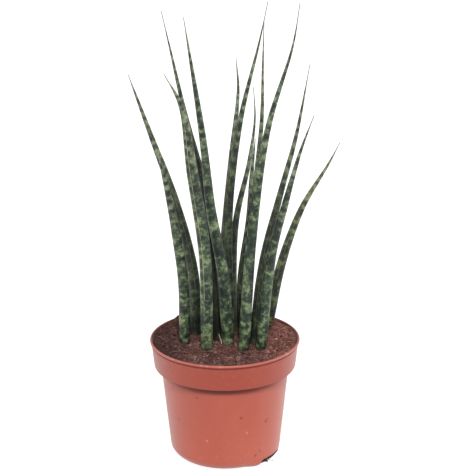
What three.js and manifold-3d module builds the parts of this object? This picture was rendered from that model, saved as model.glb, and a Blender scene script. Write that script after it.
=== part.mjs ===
// Potted mikado snake plant: a plastic nursery pot, the soil that fills it and fourteen spear leaves.
// Millimetres, +Z up. The origin is the middle of the pot's resting face, and -Y is the front.
import * as THREE from "three";
import { mergeVertices } from "three/addons/utils/BufferGeometryUtils.js";
import Module from "manifold-3d";

const wasm = await Module();
wasm.setup();

// Pot
const potHeight = 99;
const lipRadius = 60;
const lipHeight = 2.2;
const lipRound = 0.9;
const wall = 1;
const collarHeight = 22.4;
const collarTopRadius = 59;
const collarBottomRadius = 56.8;
const bodyTopRadius = 51.4;
const bodyBottomRadius = 44.4;
const cornerHeight = 9.5;
const cornerFlatness = 1.2;
const cornerSteps = 4;
const footRadius = 34;
const footWidth = 3.6;
const floorCorner = 0.7;
const discRadius = 21;
const floorRise = 1.8;
const floorSlope = 1.5;
const sidesAround = 56;

// Drainage notches in the pot's bottom edge
const notchAngles = [58, 238];
const notchWidth = 26;
const notchHeight = 6.4;
const notchCorner = 3;
const notchInnerRadius = 32;
const notchLength = 18;

// Soil
const clearance = 0.3;
const soilLevel = 95.5;
const soilWaves = 0.35;
const soilRoughness = 0.9;
const soilFrontRise = 0.6;
const soilBackRise = 2.7;
const soilSideShare = 0.8;
const soilEdgeSink = 0.4;
const bulgeReach = 41.6;
const bulgeBottom = 3.4;
const brimGap = 0.6;
const soilRings = [0, 8, 16, 24, 32, 40, 47, 52.5];
const soilSeed = 7;
const heapAt = [-35, 41];
const heapHeight = 4.4;
const heapSpread = 9;

// Leaves
const sunkDepth = 26;
const sunkWidth = 0.62;
const neckWidth = 0.92;
const neckHeight = 14;
const taperStart = 1.6;
const tipRadius = 0.42;
const tipLength = 2.5;
const channelHalfAngle = 20;
const channelDepth = 0.34;
const backSides = 8;
const leafSteps = 15;
const holeClearance = 0.35;
const holeRise = 14;

// Each leaf leaves the soil at its foot and passes through three points on its way to its tip.
// width is its thickness above the foot, and a larger taper makes its upper half more slender.
// taperStart is larger on a leaf that keeps its width until near its tip.
// turn is how many degrees its channel is turned from the side that faces away from the way it leans.
const leaves = [
  { name: "leaf_left_front", width: 9.3, taper: 0.8, taperStart: 2.4, turn: 15,
    foot: [-32, -2], tip: [-50, -27, 262], through: [[-32.3, -5, 147], [-38.7, -12, 200], [-44, -19, 232]] },
  { name: "leaf_left_back", width: 9.8, taper: 0.8, turn: -20,
    foot: [-23.4, 17], through: [[-25.3, 21, 147], [-38.7, 30, 203], [-58.6, 43, 257]], tip: [-76, 55, 303] },
  { name: "leaf_middle_left", width: 10, taper: 1.6, taperStart: 6, turn: 180,
    foot: [-14, -16], through: [[-15, -22, 177], [-23.8, -31, 248], [-31, -40, 301]], tip: [-44, -46, 329] },
  { name: "leaf_tall_left_back", width: 8.8, taper: 1, turn: 10,
    foot: [-5, 4], through: [[-14.7, 12, 214], [-30.4, 20, 281], [-40, 26, 325]], tip: [-48, 32, 360] },
  { name: "leaf_tall_left_front", width: 10.4, taper: 0.9, turn: -25,
    foot: [2.5, -4], through: [[-1, -6, 155], [-10, -9, 210], [-16, -15, 272]], tip: [-29, -26, 367] },
  { name: "leaf_short_back", width: 8.5, taper: 0.75, turn: 30,
    foot: [-4, 26], through: [[0.5, 32, 172], [6.4, 43, 238], [11.7, 55, 289]], tip: [10, 62, 315] },
  { name: "leaf_tall_middle", width: 9.1, taper: 1.05, turn: 25,
    foot: [4, 10], through: [[3, 11, 192], [13, 13, 274], [28, 15, 337]], tip: [35, 16, 370] },
  { name: "leaf_slim_back", width: 7.3, taper: 0.95, turn: -35,
    foot: [6, 22], through: [[9, 32, 183], [20, 45, 231], [25, 55, 265]], tip: [24, 64, 290] },
  { name: "leaf_slim_tall", width: 6.8, taper: 0.9, turn: 20,
    foot: [16.5, 1.5], through: [[24, 11, 211], [30, 19, 275], [31, 25, 319]], tip: [32, 30, 352] },
  { name: "leaf_short_middle", width: 8.4, taper: 0.7, turn: -15,
    foot: [14, 12], through: [[14, 13, 144], [20, 15, 193], [22, 19, 229]], tip: [25, 22, 259] },
  { name: "leaf_tall_right", width: 9.7, taper: 1.05, turn: -15,
    foot: [15, -18], through: [[22, -24, 196], [34, -35, 283], [52, -46, 349]], tip: [57, -52, 383] },
  { name: "leaf_right_back", width: 8.3, taper: 1, turn: 15,
    foot: [23.2, -3], through: [[31, 4, 162], [45, 11, 218], [57, 18, 262]], tip: [68, 28, 318] },
  { name: "leaf_right_front", width: 9.4, taper: 0.95, turn: -20,
    foot: [28.5, -15], through: [[37, -24, 177], [47, -34, 222], [58, -45, 267]], tip: [68, -55, 299] },
  { name: "leaf_right_outer", width: 9.2, taper: 0.95, turn: 20,
    foot: [35, 32], through: [[46, 39, 147], [63, 51, 191], [85, 63, 225]], tip: [95, 70, 242] },
];

const potMaterial = new THREE.MeshStandardMaterial({ color: 0xbf6a58, roughness: 0.45, metalness: 0 });
const soilMaterial = new THREE.MeshStandardMaterial({ color: 0x4a2d25, roughness: 1, metalness: 0 });
const leafMaterial = new THREE.MeshStandardMaterial({ color: 0x3c5238, roughness: 0.5, metalness: 0 });

// Closed meshes and manifold solids
function solidFrom(geometry) {
  const bare = geometry.clone();
  bare.deleteAttribute("normal");
  bare.deleteAttribute("uv");
  const merged = mergeVertices(bare, 1e-4);
  const mesh = new wasm.Mesh({
    numProp: 3,
    vertProperties: merged.attributes.position.array,
    triVerts: new Uint32Array(merged.index.array),
  });
  return new wasm.Manifold(mesh);
}

function geometryFrom(solid) {
  const mesh = solid.getMesh();
  const geometry = new THREE.BufferGeometry();
  geometry.setAttribute("position", new THREE.BufferAttribute(mesh.vertProperties, 3));
  geometry.setIndex(new THREE.BufferAttribute(mesh.triVerts, 1));
  geometry.computeVertexNormals();
  return geometry;
}

// A closed skin over rings of points that run from bottom to top, with one point to close each end
function skin(rings, bottom, top) {
  const sides = rings[0].length;
  const points = [...rings.flat(), bottom, top];
  const bottomIndex = points.length - 2;
  const topIndex = points.length - 1;
  const lastRing = (rings.length - 1) * sides;
  const faces = [];
  for (let i = 0; i < sides; i++) {
    const next = (i + 1) % sides;
    faces.push(bottomIndex, next, i);
    faces.push(topIndex, lastRing + i, lastRing + next);
    for (let ring = 0; ring < rings.length - 1; ring++) {
      const low = ring * sides;
      const high = low + sides;
      faces.push(low + i, low + next, high + next);
      faces.push(low + i, high + next, high + i);
    }
  }
  const geometry = new THREE.BufferGeometry().setFromPoints(points);
  geometry.setIndex(faces);
  geometry.computeVertexNormals();
  return geometry;
}

// The round of the pot's bottom edge, from (startRadius, low) out and up to (endRadius, high).
// cornerFlatness is 1 for a quarter of an ellipse, and more makes the round flatter.
function cornerArc(startRadius, low, endRadius, high) {
  const points = [];
  for (let step = 0; step <= cornerSteps; step++) {
    const angle = (step / cornerSteps) * (Math.PI / 2);
    const out = Math.sin(angle) ** cornerFlatness;
    const down = Math.cos(angle) ** cornerFlatness;
    points.push([startRadius + (endRadius - startRadius) * out, high - (high - low) * down]);
  }
  return points;
}

// The pot's inner face from the middle of its floor up to the lip, moved off the wall by a gap
function potInside(gap) {
  const stepHeight = potHeight - collarHeight;
  return [
    [discRadius - floorCorner, wall + gap],
    [discRadius - floorCorner + floorSlope, wall + floorRise + gap],
    [footRadius - footWidth - floorCorner, wall + floorRise + gap],
    [footRadius - footWidth - floorCorner + floorSlope, wall + gap],
    ...cornerArc(footRadius, wall + gap, bodyBottomRadius - wall - gap, cornerHeight),
    [bodyTopRadius - wall - gap, stepHeight + wall * 0.6],
    [collarBottomRadius - wall - gap, stepHeight + wall + gap],
  ];
}

function makePot() {
  const stepHeight = potHeight - collarHeight;
  const lipBottom = potHeight - lipHeight;
  const outside = [
    [0, 0],
    [discRadius, 0],
    [discRadius + floorSlope, floorRise],
    [footRadius - footWidth - floorSlope, floorRise],
    [footRadius - footWidth, 0],
    ...cornerArc(footRadius, 0, bodyBottomRadius, cornerHeight),
    [bodyTopRadius, stepHeight - 0.5],
    [collarBottomRadius - 0.6, stepHeight],
    [collarBottomRadius, stepHeight + 0.8],
    [collarTopRadius, lipBottom],
    [lipRadius - 0.4, lipBottom + 0.2],
    [lipRadius, lipBottom + 0.6],
    [lipRadius, potHeight - lipRound],
    [lipRadius - lipRound * 0.3, potHeight - lipRound * 0.3],
    [lipRadius - lipRound, potHeight],
    [collarTopRadius - wall + lipRound * 0.3, potHeight - lipRound * 0.3],
    [collarTopRadius - wall, potHeight - lipRound],
    [collarTopRadius - wall, lipBottom],
  ];
  const inside = [[0, wall], ...potInside(0)].reverse();
  const profile = [...outside, ...inside].map(([radius, height]) => new THREE.Vector2(radius, height));
  const turned = new THREE.LatheGeometry(profile, sidesAround).rotateX(Math.PI / 2);
  let solid = solidFrom(turned);
  if (solid.volume() < 0) {
    throw new Error("the pot's profile runs the wrong way");
  }
  for (const angle of notchAngles) {
    solid = solid.subtract(solidFrom(notchArch(angle, 0, notchInnerRadius + notchLength)));
  }
  return namedMesh("pot", geometryFrom(solid), potMaterial);
}

// A low arch that runs out through the pot's bottom edge, angle degrees from the front towards the right.
// It is smaller than the notch by a gap on each side, and reaches out to an outer radius.
function notchArch(angle, gap, outerRadius) {
  const half = notchWidth / 2 - gap;
  const top = notchHeight - gap;
  const arch = new THREE.Shape();
  arch.moveTo(-half, -1);
  arch.lineTo(half, -1);
  arch.absarc(half - notchCorner, top - notchCorner, notchCorner, 0, Math.PI / 2);
  arch.absarc(notchCorner - half, top - notchCorner, notchCorner, Math.PI / 2, Math.PI);
  const solid = new THREE.ExtrudeGeometry(arch, {
    depth: outerRadius - notchInnerRadius - gap,
    bevelEnabled: false,
    curveSegments: 4,
  });
  solid.rotateX(Math.PI / 2);
  solid.translate(0, -notchInnerRadius - gap, 0);
  solid.rotateZ(THREE.MathUtils.degToRad(angle));
  return solid;
}

// Repeatable random numbers from 0 to 1
function seededRandom(seed) {
  let state = seed;
  return () => {
    state = (state * 16807) % 2147483647;
    return state / 2147483647;
  };
}

// Height of the soil's surface: gently uneven, banked up against the wall, more at the sides and the back,
// with a small heap at the back left
function soilHeight(x, y) {
  const waves = Math.sin(x * 0.21 + 1.3) * Math.cos(y * 0.17) + 0.6 * Math.sin(x * 0.11 - y * 0.23);
  const away = Math.hypot(x - heapAt[0], y - heapAt[1]);
  const heap = heapHeight * Math.exp(-((away / heapSpread) ** 2));
  const outward = (Math.hypot(x, y) / collarTopRadius) ** 4;
  const back = THREE.MathUtils.clamp(soilSideShare + y / collarTopRadius, 0, 1);
  const rise = THREE.MathUtils.lerp(soilFrontRise, soilBackRise, back);
  return soilLevel + soilWaves * waves + heap + outward * rise;
}

function makeSoil(holes) {
  const random = seededRandom(soilSeed);
  const wallRing = collarTopRadius - wall - clearance;
  const rings = [];
  const ringAt = (radius, heightAt) => {
    const ring = [];
    for (let i = 0; i < sidesAround; i++) {
      const angle = (i / sidesAround) * Math.PI * 2;
      const x = radius * Math.cos(angle);
      const y = radius * Math.sin(angle);
      ring.push(new THREE.Vector3(x, y, heightAt(x, y)));
    }
    rings.push(ring);
  };
  for (const [radius, height] of potInside(clearance)) {
    ringAt(radius, () => height);
  }
  const wallShare = (soilLevel - potHeight + collarHeight) / (collarHeight - lipHeight);
  const edgeRadius = THREE.MathUtils.lerp(collarBottomRadius - wall - clearance, wallRing, wallShare);
  ringAt(edgeRadius - soilEdgeSink, (x, y) => Math.min(soilHeight(x, y), potHeight - brimGap) - soilEdgeSink);
  for (const radius of soilRings.slice(1).reverse()) {
    ringAt(radius, (x, y) => soilHeight(x, y) + soilRoughness * (random() - 0.5));
  }
  const bottom = new THREE.Vector3(0, 0, wall + clearance);
  const top = new THREE.Vector3(0, 0, soilHeight(0, 0));
  let solid = solidFrom(skin(rings, bottom, top));
  for (const hole of holes) {
    solid = solid.subtract(solidFrom(hole));
  }
  for (const angle of notchAngles) {
    const bulge = solidFrom(notchArch(angle, clearance, bulgeReach)).trimByPlane([0, 0, 1], bulgeBottom);
    solid = solid.add(bulge);
  }
  return namedMesh("soil", geometryFrom(solid), soilMaterial);
}

// The leaf's section: a circle with a shallow channel down the side at angle 0
function sectionPoints() {
  const lip = THREE.MathUtils.degToRad(channelHalfAngle);
  const points = [{ angle: 0, channel: true }, { angle: lip, channel: false }];
  const backStep = (Math.PI * 2 - 2 * lip) / backSides;
  for (let i = 1; i <= backSides; i++) {
    points.push({ angle: lip + i * backStep, channel: false });
  }
  return points;
}

function leafRoute(leaf) {
  const foot = new THREE.Vector3(leaf.foot[0], leaf.foot[1], soilLevel);
  const between = leaf.through.map((point) => new THREE.Vector3(...point));
  const tip = new THREE.Vector3(...leaf.tip);
  const curve = new THREE.CatmullRomCurve3([foot, ...between, tip]);
  curve.arcLengthDivisions = 400;
  const inward = new THREE.Vector3().subVectors(foot, tip).setZ(0).normalize();
  inward.applyAxisAngle(new THREE.Vector3(0, 0, 1), THREE.MathUtils.degToRad(leaf.turn));
  return { curve, length: curve.getLength(), inward };
}

// Half the leaf's thickness at a distance along it, measured up from the soil
function leafRadius(leaf, length, along) {
  if (along < 0) {
    const sunk = Math.min(1, -along / sunkDepth);
    return (leaf.width / 2) * THREE.MathUtils.lerp(neckWidth, sunkWidth, sunk * sunk);
  }
  const neck = 1 - (1 - neckWidth) * Math.exp(-((along / neckHeight) ** 2));
  const share = Math.min(1, along / length);
  const taper = (1 - share ** (leaf.taperStart ?? taperStart)) ** leaf.taper;
  return Math.max(tipRadius, (leaf.width / 2) * neck * taper);
}

function leafRing(leaf, route, along, grow) {
  const share = THREE.MathUtils.clamp(along / route.length, 0, 1);
  const centre = route.curve.getPointAt(share);
  const tangent = route.curve.getTangentAt(share);
  if (along < 0) {
    centre.addScaledVector(tangent, along);
  }
  const inward = route.inward.clone().addScaledVector(tangent, -route.inward.dot(tangent)).normalize();
  const side = new THREE.Vector3().crossVectors(tangent, inward);
  const radius = leafRadius(leaf, route.length, along) + grow;
  const cut = grow > 0 ? 0 : channelDepth * THREE.MathUtils.smoothstep(share, 0.03, 0.25);
  return sectionPoints().map(({ angle, channel }) => {
    const reach = channel ? radius * (1 - cut) : radius;
    return centre
      .clone()
      .addScaledVector(inward, reach * Math.cos(angle))
      .addScaledVector(side, reach * Math.sin(angle));
  });
}

function pointBeyond(route, along) {
  const share = THREE.MathUtils.clamp(along / route.length, 0, 1);
  const beyond = along - share * route.length;
  return route.curve.getPointAt(share).addScaledVector(route.curve.getTangentAt(share), beyond);
}

function makeLeaf(leaf) {
  const route = leafRoute(leaf);
  const lastRing = route.length - tipLength;
  const stations = [-sunkDepth + 2, -sunkDepth / 2, 0];
  for (let step = 1; step <= leafSteps; step++) {
    stations.push((step / leafSteps) * lastRing);
  }
  const rings = stations.map((along) => leafRing(leaf, route, along, 0));
  const bottom = pointBeyond(route, -sunkDepth);
  const top = pointBeyond(route, route.length);
  return namedMesh(leaf.name, skin(rings, bottom, top), leafMaterial);
}

// The plain hole that a leaf's foot stands in
function leafHole(leaf) {
  const route = leafRoute(leaf);
  const stations = [-sunkDepth - holeClearance, -sunkDepth / 2, 0, holeRise];
  const rings = stations.map((along) => leafRing(leaf, route, along, holeClearance));
  const bottom = pointBeyond(route, -sunkDepth - 1);
  const top = pointBeyond(route, holeRise + 1);
  return skin(rings, bottom, top);
}

function namedMesh(name, geometry, material) {
  const mesh = new THREE.Mesh(geometry, material.clone());
  mesh.name = name;
  return mesh;
}

const plant = new THREE.Group();
plant.add(makePot());
plant.add(makeSoil(leaves.map(leafHole)));
for (const leaf of leaves) {
  plant.add(makeLeaf(leaf));
}

export default plant;
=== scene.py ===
# Potted mikado snake plant: the pot, the soil and fourteen spear leaves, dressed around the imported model
import bmesh
import bpy
import math
import random
import numpy as np
from mathutils import Matrix, Vector, noise


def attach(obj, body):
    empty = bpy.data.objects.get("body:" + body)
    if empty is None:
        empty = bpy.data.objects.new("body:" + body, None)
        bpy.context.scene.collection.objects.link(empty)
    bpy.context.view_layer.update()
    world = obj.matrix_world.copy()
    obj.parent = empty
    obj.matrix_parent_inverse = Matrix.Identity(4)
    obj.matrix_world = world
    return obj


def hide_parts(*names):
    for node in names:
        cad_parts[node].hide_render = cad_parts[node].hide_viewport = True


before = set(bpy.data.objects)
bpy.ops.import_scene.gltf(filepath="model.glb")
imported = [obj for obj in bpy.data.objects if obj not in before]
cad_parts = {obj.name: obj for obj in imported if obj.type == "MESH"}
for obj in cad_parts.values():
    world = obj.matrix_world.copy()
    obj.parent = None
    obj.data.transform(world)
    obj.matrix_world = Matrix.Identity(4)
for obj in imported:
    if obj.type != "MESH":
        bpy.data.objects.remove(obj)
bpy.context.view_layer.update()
print("stage: packed model loaded")

mm = 0.001


# Modelling helpers

def deselectAll():
    if bpy.context.object and bpy.context.object.mode != "OBJECT":
        bpy.ops.object.mode_set(mode="OBJECT")
    bpy.ops.object.select_all(action="DESELECT")


def activate(piece):
    deselectAll()
    piece.select_set(True)
    bpy.context.view_layer.objects.active = piece


def named(name):
    piece = bpy.context.active_object
    piece.name = name
    piece.data.name = name
    return piece


def editMode(piece, select="NONE"):
    activate(piece)
    bpy.ops.object.mode_set(mode="EDIT")
    bpy.ops.mesh.select_all(action="SELECT" if select == "ALL" else "DESELECT")


def objectMode():
    bpy.ops.object.mode_set(mode="OBJECT")


# Extrudes what is selected by a step, then scales it about a height
def extrudeStep(step, grow, height):
    bpy.ops.mesh.extrude_region_move(TRANSFORM_OT_translate={"value": step})
    bpy.ops.transform.resize(value=(grow, grow, 1), center_override=(0, 0, height))


def closeShape():
    bpy.ops.mesh.select_all(action="SELECT")
    bpy.ops.mesh.normals_make_consistent(inside=False)
    objectMode()


def finishWith(piece, kind, **settings):
    activate(piece)
    modifier = piece.modifiers.new(kind.lower(), kind)
    for key, value in settings.items():
        setattr(modifier, key, value)
    bpy.ops.object.modifier_apply(modifier=modifier.name)


def smooth(piece, angle=180):
    activate(piece)
    if angle >= 180:
        bpy.ops.object.shade_smooth()
    else:
        bpy.ops.object.shade_smooth_by_angle(angle=math.radians(angle))


def readPoints(piece):
    points = np.zeros(len(piece.data.vertices) * 3)
    piece.data.vertices.foreach_get("co", points)
    return points.reshape(-1, 3)


def writePoints(piece, points):
    piece.data.vertices.foreach_set("co", points.reshape(-1))
    piece.data.update()


def writeVector(piece, name, values):
    layer = piece.data.attributes.new(name, "FLOAT_VECTOR", "POINT")
    layer.data.foreach_set("vector", np.asarray(values, np.float32).reshape(-1))


def writeNumber(piece, name, values):
    layer = piece.data.attributes.new(name, "FLOAT", "POINT")
    layer.data.foreach_set("value", np.asarray(values, np.float32))


def meshFrom(name, points, faces):
    mesh = bpy.data.meshes.new(name)
    mesh.from_pydata([tuple(p) for p in points], [], [tuple(f) for f in faces])
    mesh.update()
    piece = bpy.data.objects.new(name, mesh)
    bpy.context.scene.collection.objects.link(piece)
    return piece


def joinParts(name, parts):      # one mesh from several sets of points and faces
    points = []
    faces = []
    for partPoints, partFaces in parts:
        faces += [[index + len(points) for index in face] for face in partFaces]
        points += list(partPoints)
    return meshFrom(name, points, faces)


def smoothStep(share):
    share = np.clip(share, 0, 1)
    return share * share * (3 - 2 * share)


def dress(piece, material, slotName, *nodes):
    piece.data.materials.clear()
    piece.data.materials.append(material)
    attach(piece, "root")
    if nodes:
        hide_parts(*nodes)


# Materials: a Value wraps one socket, and sums on it add Math nodes

class Value:
    def __init__(self, paint, socket):
        self.paint = paint
        self.socket = socket

    def out(self, name):
        return Value(self.paint, self.socket.node.outputs[name])

    def math(self, operation, first, second=0.0):
        return self.paint.add("ShaderNodeMath", {"operation": operation}, {0: first, 1: second})

    def __add__(self, other):
        return self.math("ADD", self, other)

    def __radd__(self, other):
        return self.math("ADD", other, self)

    def __sub__(self, other):
        return self.math("SUBTRACT", self, other)

    def __rsub__(self, other):
        return self.math("SUBTRACT", other, self)

    def __mul__(self, other):
        return self.math("MULTIPLY", self, other)

    def __rmul__(self, other):
        return self.math("MULTIPLY", other, self)

    def __pow__(self, other):
        return self.math("POWER", self, other)

    def __abs__(self):
        return self.math("ABSOLUTE", self)

    def fade(self, low, high, base=0):       # a smooth step from 0 at low to 1 at high, both from base
        settings = {"interpolation_type": "SMOOTHSTEP"}
        sockets = {"Value": self, "From Min": base + low, "From Max": base + high}
        return self.paint.add("ShaderNodeMapRange", settings, sockets)


class Paint:
    def __init__(self, name):
        self.material = bpy.data.materials.new(name)
        self.material.use_nodes = True
        self.tree = self.material.node_tree
        self.shader = self.tree.nodes["Principled BSDF"]

    def add(self, kind, settings=None, sockets=None):
        node = self.tree.nodes.new(kind)
        for key, value in (settings or {}).items():
            if key == "stops":
                self.setStops(node.color_ramp, value)
            else:
                setattr(node, key, value)
        for key, value in (sockets or {}).items():
            self.plug(node.inputs[key], value)
        shown = [socket for socket in node.outputs if socket.enabled]
        return Value(self, shown[0])

    def setStops(self, ramp, stops):
        while len(ramp.elements) < len(stops):
            ramp.elements.new(1.0)
        for element, (place, colour) in zip(ramp.elements, stops):
            element.position = place
            element.color = (*colour, 1.0)

    def plug(self, socket, value):
        if isinstance(value, Value):
            self.tree.links.new(value.socket, socket)
        elif isinstance(value, tuple) and len(value) == 3 and len(socket.default_value) == 4:
            socket.default_value = (*value, 1.0)
        else:
            socket.default_value = value

    def set(self, **sockets):
        for key, value in sockets.items():
            self.plug(self.shader.inputs[key.replace("_", " ")], value)

    def place(self):
        return self.add("ShaderNodeTexCoord").out("Object")

    def attribute(self, name, output="Fac"):
        return self.add("ShaderNodeAttribute", {"attribute_name": name}).out(output)

    def vectorMath(self, operation, first, second):
        return self.add("ShaderNodeVectorMath", {"operation": operation}, {0: first, 1: second})

    def scaled(self, vector, scale):
        return self.vectorMath("MULTIPLY", vector, scale)

    def noise(self, vector, scale, detail, roughness, distortion=0.0):
        sockets = {"Vector": vector, "Scale": scale, "Detail": detail, "Roughness": roughness}
        sockets["Distortion"] = distortion
        return self.add("ShaderNodeTexNoise", {"noise_dimensions": "3D"}, sockets)

    def noiseAt(self, x, y, z, detail, roughness, distortion=0.0):
        return self.noise(self.joined(x, y, z), 1, detail, roughness, distortion)

    def cells(self, vector, scale):
        return self.add("ShaderNodeTexVoronoi", {"feature": "F1"}, {"Vector": vector, "Scale": scale})

    def split(self, vector):
        parts = self.add("ShaderNodeSeparateXYZ", None, {0: vector})
        return parts, parts.out("Y"), parts.out("Z")

    def joined(self, x, y, z):
        return self.add("ShaderNodeCombineXYZ", None, {0: x, 1: y, 2: z})

    def ramp(self, value, stops):
        return self.add("ShaderNodeValToRGB", {"stops": stops}, {0: value})

    def mix(self, share, first, second, blend="MIX"):      # 6 and 7 are the Mix node's colour sockets
        settings = {"data_type": "RGBA", "blend_type": blend}
        return self.add("ShaderNodeMix", settings, {0: share, 6: first, 7: second})

    def layered(self, colour, *layers):      # each layer is a share and the colour that it brings
        for share, tint in layers:
            colour = self.mix(share, colour, tint)
        return colour

    def bump(self, height, strength, distance):
        sockets = {"Height": height, "Strength": strength, "Distance": distance}
        return self.add("ShaderNodeBump", None, sockets)


# Pot

potShape = {
    "height": 99 * mm,
    "lipRadius": 60 * mm,
    "lipHeight": 2.2 * mm,
    "lipRound": 0.9 * mm,
    "lipFacet": 0.3,            # share of the lip's round that its slanted facets take
    "lipUndercut": 0.4 * mm,
    "lipUnderRise": 0.2 * mm,
    "lipSideRise": 0.6 * mm,
    "wall": 1 * mm,
    "collarHeight": 22.4 * mm,
    "collarTop": 59 * mm,
    "collarBottom": 56.8 * mm,
    "stepDrop": 0.5 * mm,       # the step under the collar, and the round of its edge
    "stepInset": 0.6 * mm,
    "stepRound": 0.8 * mm,
    "innerStep": 0.6,
    "bodyTop": 51.4 * mm,
    "bodyBottom": 44.4 * mm,
    "cornerHeight": 9.5 * mm,
    "cornerFlatness": 1.2,
    "cornerSteps": 10,
    "footRadius": 34 * mm,
    "footWidth": 3.6 * mm,
    "discRadius": 21 * mm,
    "floorRise": 1.8 * mm,
    "floorSlope": 1.5 * mm,
    "floorCorner": 0.7 * mm,
    "spinSteps": 160,
    "edgeRound": 0.45 * mm,
    "edgeSteps": 3,
    "roundedAngle": 24,         # edges sharper than this are rounded
    "smoothAngle": 38,
}
stepHeight = potShape["height"] - potShape["collarHeight"]
lipBottom = potShape["height"] - potShape["lipHeight"]

notch = {
    "angles": (58, 238),        # degrees from the front towards the right
    "width": 26 * mm,
    "height": 6.4 * mm,
    "corner": 3 * mm,
    "innerRadius": 32 * mm,
    "length": 18 * mm,
    "roundSteps": 8,
    "flareReach": 38,           # degrees either side of a notch where the wall runs straighter down
    "flareEase": 20,
    "flareFoot": 4 * mm,
    "flareHeight": 5 * mm,
    "flareSlope": 0.09,
}

bulge = {       # soil that shows in a notch
    "width": 24.8 * mm,
    "corner": 2.6 * mm,
    "bottom": 2.9 * mm,
    "top": 6.1 * mm,
    "innerRadius": 32.3 * mm,
    "outerRadius": 43 * mm,
    "setBack": 0.45 * mm,       # how far it stays inside the round of the pot's bottom edge
    "grain": 0.3 * mm,
    "grainScale": 0.55,
    "grainNoise": (0.8, 2.1, 3),        # roughness, spacing and number of its layers
    "voxel": 0.4 * mm,
}


def cornerArc(startRadius, low, endRadius, high):
    points = []
    for step in range(potShape["cornerSteps"] + 1):
        angle = step / potShape["cornerSteps"] * math.pi / 2
        out = math.sin(angle) ** potShape["cornerFlatness"]
        down = max(math.cos(angle), 0) ** potShape["cornerFlatness"]
        points.append((startRadius + (endRadius - startRadius) * out, high - (high - low) * down))
    return points


def potInside(gap):
    p = potShape
    ledge = p["discRadius"] - p["floorCorner"]
    inner = p["footRadius"] - p["footWidth"] - p["floorCorner"]
    return [
        (ledge, p["wall"] + gap),
        (ledge + p["floorSlope"], p["wall"] + p["floorRise"] + gap),
        (inner, p["wall"] + p["floorRise"] + gap),
        (inner + p["floorSlope"], p["wall"] + gap),
        *cornerArc(p["footRadius"], p["wall"] + gap, p["bodyBottom"] - p["wall"] - gap, p["cornerHeight"]),
        (p["bodyTop"] - p["wall"] - gap, stepHeight + p["wall"] * p["innerStep"]),
        (p["collarBottom"] - p["wall"] - gap, stepHeight + p["wall"] + gap),
    ]


def potProfile():
    p = potShape
    facet = p["lipRound"] * p["lipFacet"]
    top = p["height"]
    roundBottom = top - p["lipRound"]
    lip = p["lipRadius"]
    inner = p["collarTop"] - p["wall"]
    foot = p["footRadius"] - p["footWidth"]
    outside = [
        (0, 0),
        (p["discRadius"], 0),
        (p["discRadius"] + p["floorSlope"], p["floorRise"]),
        (foot - p["floorSlope"], p["floorRise"]),
        (foot, 0),
        *cornerArc(p["footRadius"], 0, p["bodyBottom"], p["cornerHeight"]),
        (p["bodyTop"], stepHeight - p["stepDrop"]),
        (p["collarBottom"] - p["stepInset"], stepHeight),
        (p["collarBottom"], stepHeight + p["stepRound"]),
        (p["collarTop"], lipBottom),
        (lip - p["lipUndercut"], lipBottom + p["lipUnderRise"]),
        (lip, lipBottom + p["lipSideRise"]),
        (lip, roundBottom),
        (lip - facet, top - facet),
        (lip - p["lipRound"], top),
        (inner + facet, top - facet),
        (inner, roundBottom),
        (inner, lipBottom),
    ]
    return outside + list(reversed([(0, p["wall"])] + potInside(0)))


def makePot():
    p = potShape
    deselectAll()
    profile = potProfile()
    bpy.ops.mesh.primitive_plane_add(size=2 * mm, location=(0, 0, 0))
    pot = named("nursery_pot")
    editMode(pot, "ALL")
    bpy.ops.mesh.merge(type="CENTER")
    bpy.ops.transform.translate(value=(profile[0][0], 0, profile[0][1]))
    for start, end in zip(profile, profile[1:]):
        step = (end[0] - start[0], 0, end[1] - start[1])
        bpy.ops.mesh.extrude_vertices_move(TRANSFORM_OT_translate={"value": step})
    bpy.ops.mesh.select_all(action="SELECT")
    bpy.ops.mesh.spin(steps=p["spinSteps"], angle=math.tau, center=(0, 0, 0), axis=(0, 0, 1))
    bpy.ops.mesh.select_all(action="SELECT")
    bpy.ops.mesh.remove_doubles(threshold=0.01 * mm)
    closeShape()
    finishWith(pot, "BEVEL", width=p["edgeRound"], segments=p["edgeSteps"], limit_method="ANGLE",
               angle_limit=math.radians(p["roundedAngle"]))
    flareWall(pot)
    for angle in notch["angles"]:
        cutNotch(pot, angle)
    smooth(pot, p["smoothAngle"])
    return pot


# 1 beside a notch, where the wall runs straighter down, and 0 away from it
def flareShare(points):
    bearing = np.degrees(np.arctan2(points[:, 0], -points[:, 1]))
    off = np.min([np.abs((bearing - angle + 180) % 360 - 180) for angle in notch["angles"]], axis=0)
    return smoothStep((notch["flareReach"] - off) / notch["flareEase"])


# Radius of the pot's outside at a height within the bottom edge's round
def edgeRadius(heights, share):
    p = potShape
    arc = cornerArc(p["footRadius"], 0, p["bodyBottom"], p["cornerHeight"])
    rounded = np.interp(heights, [height for _, height in arc], [radius for radius, _ in arc])
    tuck = np.clip(1 - heights / notch["flareHeight"], 0, 1) ** 2 * notch["flareFoot"]
    straight = p["bodyBottom"] - (p["cornerHeight"] - heights) * notch["flareSlope"] - tuck
    return rounded + (np.maximum(straight, rounded) - rounded) * share


def flareWall(pot):
    points = readPoints(pot)
    heights = points[:, 2]
    radius = np.maximum(np.hypot(points[:, 0], points[:, 1]), mm)
    outer = radius > potShape["footRadius"] - potShape["edgeRound"]
    low = outer & (heights < potShape["cornerHeight"])
    shift = (edgeRadius(heights, flareShare(points)) - edgeRadius(heights, 0)) * low
    points[:, :2] *= (1 + shift / radius)[:, None]
    writePoints(pot, points)


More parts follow.
